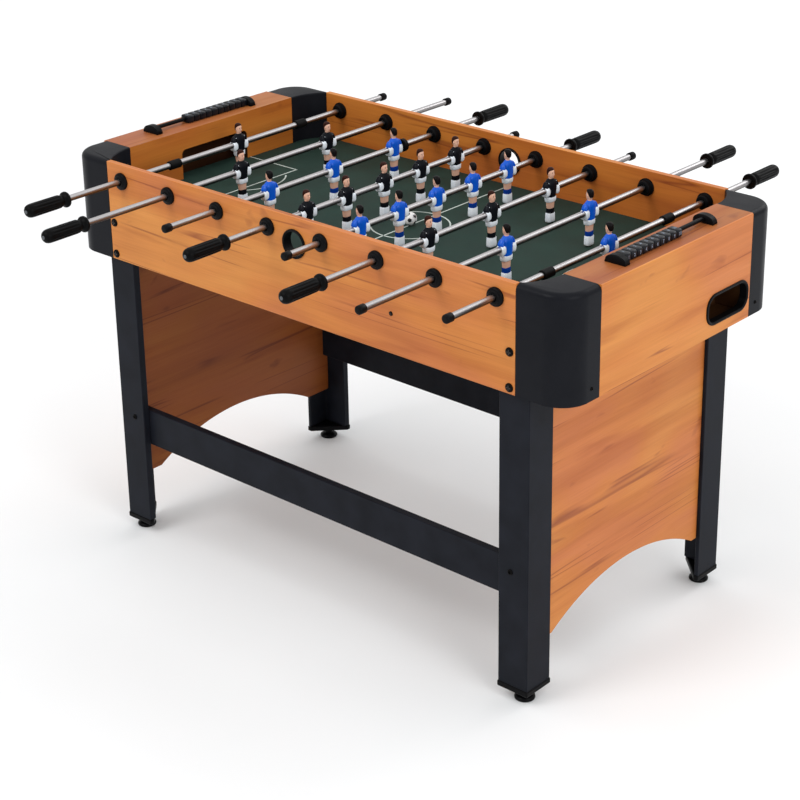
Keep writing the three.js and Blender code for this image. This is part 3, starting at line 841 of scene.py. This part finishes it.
def bearings():
    """Each rod runs in a flanged bush outside, held by a washer and a round nut inside."""
    flange = [(0.0068, -0.001), (0.0068, 0.0078), (0.0080, 0.0086), (0.0108, 0.0080),
              (0.0122, 0.0062), (0.0152, 0.0056), (0.0166, 0.0044), (0.0170, 0.0026),
              (0.0168, 0.0), (0.0112, 0.0), (0.0112, -0.001)]
    nut = [(0.0068, -0.001), (0.0068, 0.0112), (0.0082, 0.0122), (0.0122, 0.0118),
           (0.0138, 0.0102), (0.0144, 0.0046), (0.0168, 0.0038), (0.0174, 0.0022),
           (0.0172, 0.0), (0.0112, 0.0), (0.0112, -0.001)]
    for rod, _, _ in RODS:
        x, z = rod_axis(rod)
        bm = bmesh.new()
        for side in (-1, 1):
            lathe(bm, flange, (x, side * HALF_Y, z), 40, wrap=True, flip=side)
            lathe(bm, nut, (x, side * INNER_Y, z), 40, wrap=True, flip=-side)
        place("bearings_" + rod, to_mesh("bearings", bm, [PLASTIC]), "cabinet", "black_plastic")


def entry_rings():
    profile = [(0.0232, 0.0030), (0.0240, 0.0040), (0.0256, 0.0044), (0.0270, 0.0036),
               (0.0277, 0.0020), (0.0276, 0.0), (0.0242, 0.0), (0.0242, -0.0062),
               (0.0232, -0.0062)]
    for word, side in LONG_SIDES:
        bm = bmesh.new()
        lathe(bm, profile, (0, side * HALF_Y, ENTRY_Z), 64, wrap=True, flip=side)
        lathe(bm, profile, (0, side * INNER_Y, ENTRY_Z), 64, wrap=True, flip=-side)
        place("entry_ring_" + word, to_mesh("entry_ring", bm, [PLASTIC]), "cabinet",
              "black_plastic")


def ball_returns():
    """Ring round the return pocket, with a sleeve that goes in through the board. The profile
    holds (growth of the opening, height above the board)."""
    profile = [(0.0, 0.0012), (0.0010, 0.0024), (0.0030, 0.0030), (0.0048, 0.0025),
               (0.0056, 0.0012), (0.0056, 0.0), (0.0012, 0.0), (0.0012, -0.0125), (0.0, -0.0125)]
    sleeve = 0.0016
    width, height, corner = (size - sleeve for size in RETURN_HALF)
    for word, side in ENDS:
        bm = bmesh.new()
        loft(bm, [[(side * (HALF_X + rise), side * u, v) for u, v in
                   rounded(width + growth, height + growth, corner + growth, 12, RETURN_CENTRE)]
                  for growth, rise in profile], wrap=True)
        place("return_ring_" + word, to_mesh("return_ring", bm, [PLASTIC]), "cabinet",
              "black_plastic")


def bolt(bm, centre, axis, out, radius, cross=False):
    """A low round head with a round socket or a cross slot, on a face looking out."""
    point = spread(axis)
    order = {"X": (1, 2, 0), "Y": (0, 2, 1)}[axis]
    cu, cv, cw = (centre[i] for i in order)

    def raised(outline, height):
        return [point(cu + a, cv + b, cw + out * radius * height) for a, b in outline]

    head = [(1.0, 0.0), (1.0, 0.12), (0.96, 0.24), (0.84, 0.36), (0.62, 0.43), (0.54, 0.44)]
    loft(bm, [raised(circle(radius * r, 24), h) for r, h in head], capped=cross)
    if cross:
        for turned in (False, True):
            size = (radius * 0.62, radius * 0.13)
            slot = rounded(*(size[::-1] if turned else size), radius * 0.12, 3)
            loft(bm, [[point(cu + a, cv + b, cw + out * radius * h) for a, b in slot]
                      for h in (0.42, 0.46)], 1)
    else:
        socket = raised(circle(radius * 0.50, 24), 0.14)
        loft(bm, [raised(circle(radius * 0.54, 24), 0.44), socket], capped=False)
        bm.faces.new([bm.verts.new(spot) for spot in socket])


def fasteners():
    bm = bmesh.new()
    leg_y = LEG_HIGH.y - FOOT_PROUD
    for _, sx, sy in CORNERS:
        for x, z, radius in BOARD_SCREWS:
            bolt(bm, (sx * x, sy * HALF_Y, z), "Y", sy, radius, True)
        x, z, radius = LEG_BOLT
        bolt(bm, (sx * x, sy * leg_y, z), "Y", sy, radius)
        y, z, radius = CAP_SCREW
        bolt(bm, (sx * HALF_X, sy * y, z), "X", sx, radius)
    place("fasteners", to_mesh("fasteners", bm, [SCREW, SLOT]), "cabinet", "black_plastic")


bearings()
entry_rings()
ball_returns()
fasteners()

# ---------- rods and handles


def handle_mesh():
    """Fluted grip with a neck and a collar disc; collar face at y = 0, grip towards -Y."""
    bm = bmesh.new()
    profile = [(0.0064, 0.0), (0.0128, 0.0), (0.0146, -0.0006), (0.0151, -0.0020),
               (0.0151, -0.0044), (0.0145, -0.0062), (0.0128, -0.0080), (0.0108, -0.0094),
               (0.0098, -0.0110), (0.0097, -0.0125), (0.0102, -0.0142), (0.0114, -0.0160),
               (0.0124, -0.0182), (0.0127, -0.0205, 0.0003), (0.0128, -0.0235, 0.0010),
               (0.0129, -0.0350, 0.0013), (0.0130, -0.0560, 0.0013), (0.0131, -0.0740, 0.0011),
               (0.0131, -0.0790, 0.0006), (0.0130, -0.0830, 0.0001), (0.0124, -0.0872),
               (0.0110, -0.0908), (0.0088, -0.0932), (0.0062, -0.0945), (0.0038, -0.0949)]
    lathe(bm, profile, count=96, flutes=12)
    pin = [(0.0034, -0.0940), (0.0034, -0.0954), (0.0029, -0.0959), (0.0016, -0.0961)]
    lathe(bm, pin, count=24, material=1)
    return to_mesh("handle", bm, [GRIP, PLUG])


def rod_pieces():
    grip = handle_mesh()
    edge = 0.0008
    sunk = 0.004  # the tube ends this far inside its end cap
    for rod, _, sleeves in RODS:
        shaft, axle, team = "shaft_" + rod, "rod_" + rod, "team_" + rod
        x, z = rod_axis(rod)
        low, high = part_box(shaft)
        side = 1 if rod.startswith("black") else -1
        blind_end, cap_end = (low.y, high.y)[::side]
        bm = bmesh.new()
        near, far = sorted((blind_end, cap_end - side * sunk))
        lathe(bm, [(ROD_RADIUS - edge, near), (ROD_RADIUS, near + edge),
                   (ROD_RADIUS, far - edge), (ROD_RADIUS - edge, far)])
        place("tube_" + rod, to_mesh("tube", bm, [CHROME]), axle, "chrome", [shaft],
              matrix=Matrix.Translation((x, 0, z)))
        bm = bmesh.new()
        cap = [(0.0061, -0.0160), (0.0074, -0.0160), (0.0080, -0.0152), (0.0080, -0.0040),
               (0.0077, -0.0018), (0.0066, -0.0004), (0.0050, 0.0), (0.0020, 0.0)]
        lathe(bm, cap, (x, cap_end, z), flip=side)
        place("end_cap_" + rod, to_mesh("end_cap", bm, [PLASTIC]), axle, "grip")
        if sleeves:
            bm = bmesh.new()
            for spot, length, radius in sleeves:
                half, lip = length / 2, 0.0012
                ring = [(0.0061, -half), (radius - lip, -half), (radius, lip - half),
                        (radius, half - lip), (radius - lip, half), (0.0061, half)]
                lathe(bm, ring, (x, spot, z), wrap=True)
            place("sleeves_" + rod, to_mesh("sleeves", bm, [RUBBER]), axle, "grip")
        handle = "handle_" + rod
        low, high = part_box(handle)
        face = (low.y, high.y)[::side][1]
        place("grip_" + rod, grip, team, "grip", [handle],
              matrix=Matrix.Translation((x, face, z)) @ facing(side))


rod_pieces()

# ---------- player figures


def squircle(power, count):
    """A round-cornered square of half size 1."""
    points = []
    for i in range(count):
        c, s = math.cos(math.tau * i / count), math.sin(math.tau * i / count)
        points.append((math.copysign(abs(c) ** (2 / power), c),
                       math.copysign(abs(s) ** (2 / power), s)))
    return points


def body_part(bm, rows, material, power):
    """Skins level sections, each (height, half width, half depth, forward shift) in mm."""
    loft(bm, [[(0.001 * (shift + deep * a), 0.001 * wide * b, 0.001 * z)
               for a, b in squircle(power, 28)] for z, wide, deep, shift in rows], material)


def ellipsoid(bm, centre, radii, material, rows, count):
    """Level rings over nearly the whole height, closed by two small flat faces."""
    rings = []
    for row in range(rows + 1):
        tilt = math.pi * (0.02 + 0.96 * row / rows) - math.pi / 2
        r, h = math.cos(tilt), math.sin(tilt)
        rings.append([(centre[0] + radii[0] * r * c, centre[1] + radii[1] * r * s,
                       centre[2] + radii[2] * h) for c, s in circle(1, count)])
    loft(bm, rings, material)


def figure_mesh(team):
    """A footballer on its rod, facing +X, with the rod's axis along Y through the origin."""
    shirt, white, skin, hair, ink, lips, sock = range(7)
    bm = bmesh.new()
    body_part(bm, [(-15.0, 10.4, 7.0, 0), (-14.3, 11.4, 7.8, 0), (-10, 11.7, 8.1, 0.1),
                   (-4, 12.2, 8.6, 0.3), (4, 13.0, 9.0, 0.4), (10, 13.6, 8.9, 0.3),
                   (14, 13.2, 8.1, 0.0), (17, 11.0, 6.9, -0.2), (19.2, 8.0, 5.8, -0.2),
                   (20.8, 5.4, 5.0, 0), (21.4, 4.8, 4.6, 0)], shirt, 2.6)
    for side in (-1, 1):
        sleeve = [(0.0132, 16.4, 3.6), (0.0148, 13.6, 4.8), (0.0160, 9.6, 5.6),
                  (0.0166, 6.4, 5.9), (0.0166, 5.6, 5.2)]
        rings = []
        for y, z, r in sleeve:
            rings.append([(r * 1.15 * c / 1000, side * (y + r * 0.62 * s / 1000 - 0.001), z / 1000)
                          for c, s in circle(1, 20)])
        loft(bm, rings, shirt)
        hand = [(9.0, 7.4, 8.8, 0.6), (12.0, 8.0, 9.6, 0.4), (15.0, 8.4, 10.0, 0),
                (17.6, 8.2, 9.6, 0), (18.9, 7.4, 8.6, 0), (19.4, 6.6, 7.6, 0)]
        rings = [[(0.001 * deep * a, side * 0.001 * y, 0.001 * (tall * b - 2.8 + rise))
                  for a, b in squircle(2.8, 28)] for y, deep, tall, rise in hand]
        loft(bm, rings, white)
    body_part(bm, [(-13.4, 11.2, 7.2, 0), (-14.8, 12.2, 7.9, 0), (-19, 12.3, 8.0, 0),
                   (-22.6, 11.9, 7.6, 0), (-23.8, 11.3, 7.1, 0), (-24.2, 10.4, 6.4, 0)], white, 3.0)
    body_part(bm, [(-23.4, 9.0, 5.7, 0), (-28, 8.9, 5.6, 0), (-33, 8.5, 5.4, 0),
                   (-37.4, 8.0, 5.2, 0)], skin, 2.8)
    body_part(bm, [(-36.8, 8.0, 5.3, 0), (-37.5, 8.5, 5.8, 0), (-41.5, 8.3, 5.7, 0),
                   (-45.0, 8.4, 5.7, 0), (-46.6, 8.7, 5.8, 0)], sock, 3.2)
    body_part(bm, [(-46.0, 8.6, 5.2, 0), (-46.9, 9.3, 5.8, 0), (-60, 9.6, 6.1, 0),
                   (-63.2, 9.5, 6.0, 0), (-64.0, 8.8, 5.4, 0)], white, 5.0)
    body_part(bm, [(18.5, 4.6, 4.4, 0), (21.5, 4.3, 4.2, 0.2), (25, 4.4, 4.4, 0.6)], skin, 2.0)
    below = len(bm.verts)
    face = [(21.2, 2.2, 2.6, 2.2), (22.0, 3.6, 4.2, 1.6), (24.0, 5.0, 5.8, 1.1),
            (27.0, 6.0, 6.9, 0.8), (30.5, 6.5, 7.4, 0.6), (34.0, 6.6, 7.5, 0.4),
            (37.5, 6.0, 6.9, 0.2), (40.0, 4.6, 5.4, 0), (41.4, 2.6, 3.2, 0)]
    body_part(bm, face, skin, 2.1)
    tuft = [(27.5, 4.8, 3.0, -4.4), (29.5, 6.2, 4.4, -3.6), (32.5, 7.0, 5.4, -2.9),
            (35.5, 7.2, 6.4, -1.9), (37.6, 7.1, 7.3, -0.9), (39.4, 6.5, 7.3, -0.2),
            (41.2, 5.2, 5.9, -0.1), (42.2, 3.4, 3.8, -0.2), (42.6, 1.4, 1.6, -0.3)]
    body_part(bm, tuft, hair, 2.1)
    for side in (-1, 1):
        ellipsoid(bm, (0.0004, side * 0.0068, 0.0310), (0.0015, 0.0012, 0.0022), skin, 6, 10)
        ellipsoid(bm, (0.0073, side * 0.0026, 0.0322), (0.0007, 0.0010, 0.0007), ink, 5, 8)
        ellipsoid(bm, (0.0072, side * 0.0027, 0.0342), (0.0006, 0.0017, 0.0004), hair, 5, 8)
    ellipsoid(bm, (0.0083, 0, 0.0300), (0.0016, 0.0012, 0.0020), skin, 6, 10)
    ellipsoid(bm, (0.0076, 0, 0.0262), (0.0007, 0.0019, 0.0006), lips, 5, 10)
    bm.verts.ensure_lookup_table()
    bmesh.ops.scale(bm, vec=(0.90, 0.88, 1.0), verts=bm.verts[below:])
    if team == "black":
        for side in (-1, 1):
            ellipsoid(bm, (0, side * 0.0116, 0.0142), (0.0058, 0.0012, 0.0016), white, 8, 12)
    kit, locks, band = {"black": (BLACK, HAIR_BROWN, BLACK), "blue": (BLUE, HAIR_BLACK, SOCK)}[team]
    return to_mesh("figure_" + team, bm, [kit, WHITE, SKIN, locks, FEATURES, LIPS, band], 45)


def figures():
    shapes = {team: figure_mesh(team) for team in ("black", "blue")}
    for rod, count, _ in RODS:
        team = rod.split("_")[0]
        x, z = rod_axis(rod)
        turn = facing(1 if team == "black" else -1)
        for number in range(1, count + 1):
            node = f"player_{rod}_{number}"
            matrix = Matrix.Translation((x, node_centre(node).y, z)) @ turn
            place(f"figure_{rod}_{number}", shapes[team], "team_" + rod, "figure_" + team, [node],
                  matrix=matrix)


figures()

# ---------- scorers


def digit_mesh(text, size):
    curve = bpy.data.curves.new("digit", "FONT")
    curve.body = text
    curve.size = size
    curve.align_x = "CENTER"
    curve.align_y = "CENTER"
    curve.resolution_u = 2
    letter = bpy.data.objects.new("digit", curve)
    bpy.context.scene.collection.objects.link(letter)
    bpy.context.view_layer.update()
    mesh = bpy.data.meshes.new_from_object(letter)
    bpy.data.objects.remove(letter)
    return mesh


def scorers():
    for word, side in ENDS:
        rail, beads = "scorer_rail_" + word, "scorer_beads_" + word
        low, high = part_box(rail)
        base = Matrix.Translation(((low.x + high.x) / 2, 0, TOP)) @ facing(side)
        half, crest = high.y, high.z - TOP
        bm = bmesh.new()
        lathe(bm, [(WIRE_RADIUS, 0.004 - half), (WIRE_RADIUS, half - 0.004)], (0, 0, WIRE_RISE), 24)
        for end in (-1, 1):
            rings = []
            for back, shrink in ((BRACKET_DEEP, 0.0010), (BRACKET_DEEP - 0.0008, 0),
                                 (0.0010, 0), (0, 0.0012)):
                spring = BRACKET_SKIRT - shrink
                dome = [(-BRACKET_HALF, GAP), (-BRACKET_HALF, spring)]
                dome += arc(0, spring, BRACKET_HALF - shrink, 172, 8, 22, crest - BRACKET_SKIRT)
                dome += [(BRACKET_HALF, spring), (BRACKET_HALF, GAP)]
                rings.append([(x, end * (half - back), z) for x, z in dome])
            loft(bm, rings)
        place("scorer_" + word, to_mesh(rail, bm, [PLASTIC], 40), "cabinet", "black_plastic",
              [rail], matrix=base)
        b_low, b_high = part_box(beads)
        start = b_low.y if side > 0 else -b_high.y
        pitch = (b_high.y - b_low.y + BEAD_GAP) / BEAD_COUNT
        wide, tall = (b_high.x - b_low.x) / 2, (b_high.z - b_low.z) / 2
        middle = (b_high.z + b_low.z) / 2 - TOP
        edges = [(0.0, 0.0022), (0.0005, 0.0010), (0.0012, 0.0003), (0.0020, 0.0)]
        edges += [(pitch - BEAD_GAP - along, shrink) for along, shrink in reversed(edges)]
        bm = bmesh.new()
        for bead in range(BEAD_COUNT):
            first = start + bead * pitch
            loft(bm, [[(u, first + along, middle + v) for u, v in
                       rounded(wide - shrink, tall - shrink, 0.0034, 5)]
                      for along, shrink in edges])
            digit = digit_mesh(str(bead + 1), DIGIT_SIZE)
            centre = Matrix.Translation((0, first + pitch / 2, middle))
            upright = Matrix.Rotation(math.pi / 2, 4, "Z")
            for tilt, reach in ((0.0, tall), (math.pi / 2, wide)):
                lifted = Matrix.Translation((0, 0, reach + DIGIT_LIFT))
                face = Matrix.Rotation(tilt, 4, "Y") @ lifted
                copy = digit.copy()
                copy.transform(centre @ face @ upright)
                count = len(bm.faces)
                bm.from_mesh(copy)
                bm.faces.ensure_lookup_table()
                for index in range(count, len(bm.faces)):
                    bm.faces[index].material_index = 1
        place("beads_" + word, to_mesh(beads, bm, [BEAD, DIGIT], 40), "beads_" + word, "bead",
              [beads], matrix=base)


scorers()

# ---------- ball


def ball():
    """Thirty-two sewn panels: twelve dark five-sided ones and twenty pale six-sided ones."""
    centre = (BALL_LOW + BALL_HIGH) / 2
    radius = (BALL_HIGH.z - BALL_LOW.z) / 2
    bm = bmesh.new()
    bmesh.ops.create_icosphere(bm, subdivisions=1, radius=1)
    thirds = []
    for edge in bm.edges:
        a, b = (vert.co for vert in edge.verts)
        thirds += [a.lerp(b, 1 / 3), a.lerp(b, 2 / 3)]
    bm.free()
    bm = bmesh.new()
    for point in thirds:
        bm.verts.new(point)
    bmesh.ops.convex_hull(bm, input=bm.verts)
    bmesh.ops.dissolve_limit(bm, angle_limit=0.02, verts=bm.verts, edges=bm.edges)
    for face in bm.faces:
        face.material_index = 1 if len(face.verts) == 5 else 0
    seam = 0.018  # of the radius
    rim = bmesh.ops.inset_individual(bm, faces=bm.faces, thickness=seam)
    seams = set(rim["faces"])
    bmesh.ops.triangulate(bm, faces=[f for f in bm.faces if f not in seams])
    bmesh.ops.subdivide_edges(bm, edges=bm.edges, cuts=3, use_grid_fill=True)
    for vert in bm.verts:
        vert.co = vert.co.normalized() * radius
    tilt = Matrix.Rotation(0.5, 3, "X") @ Matrix.Rotation(0.4, 3, "Z")
    bmesh.ops.rotate(bm, verts=bm.verts, matrix=tilt)
    place("football", to_mesh("football", bm, [BALL_WHITE, BALL_BLACK]), "ball", "ball", ["ball"],
          matrix=Matrix.Translation(centre))


ball()

bpy.context.view_layer.update()
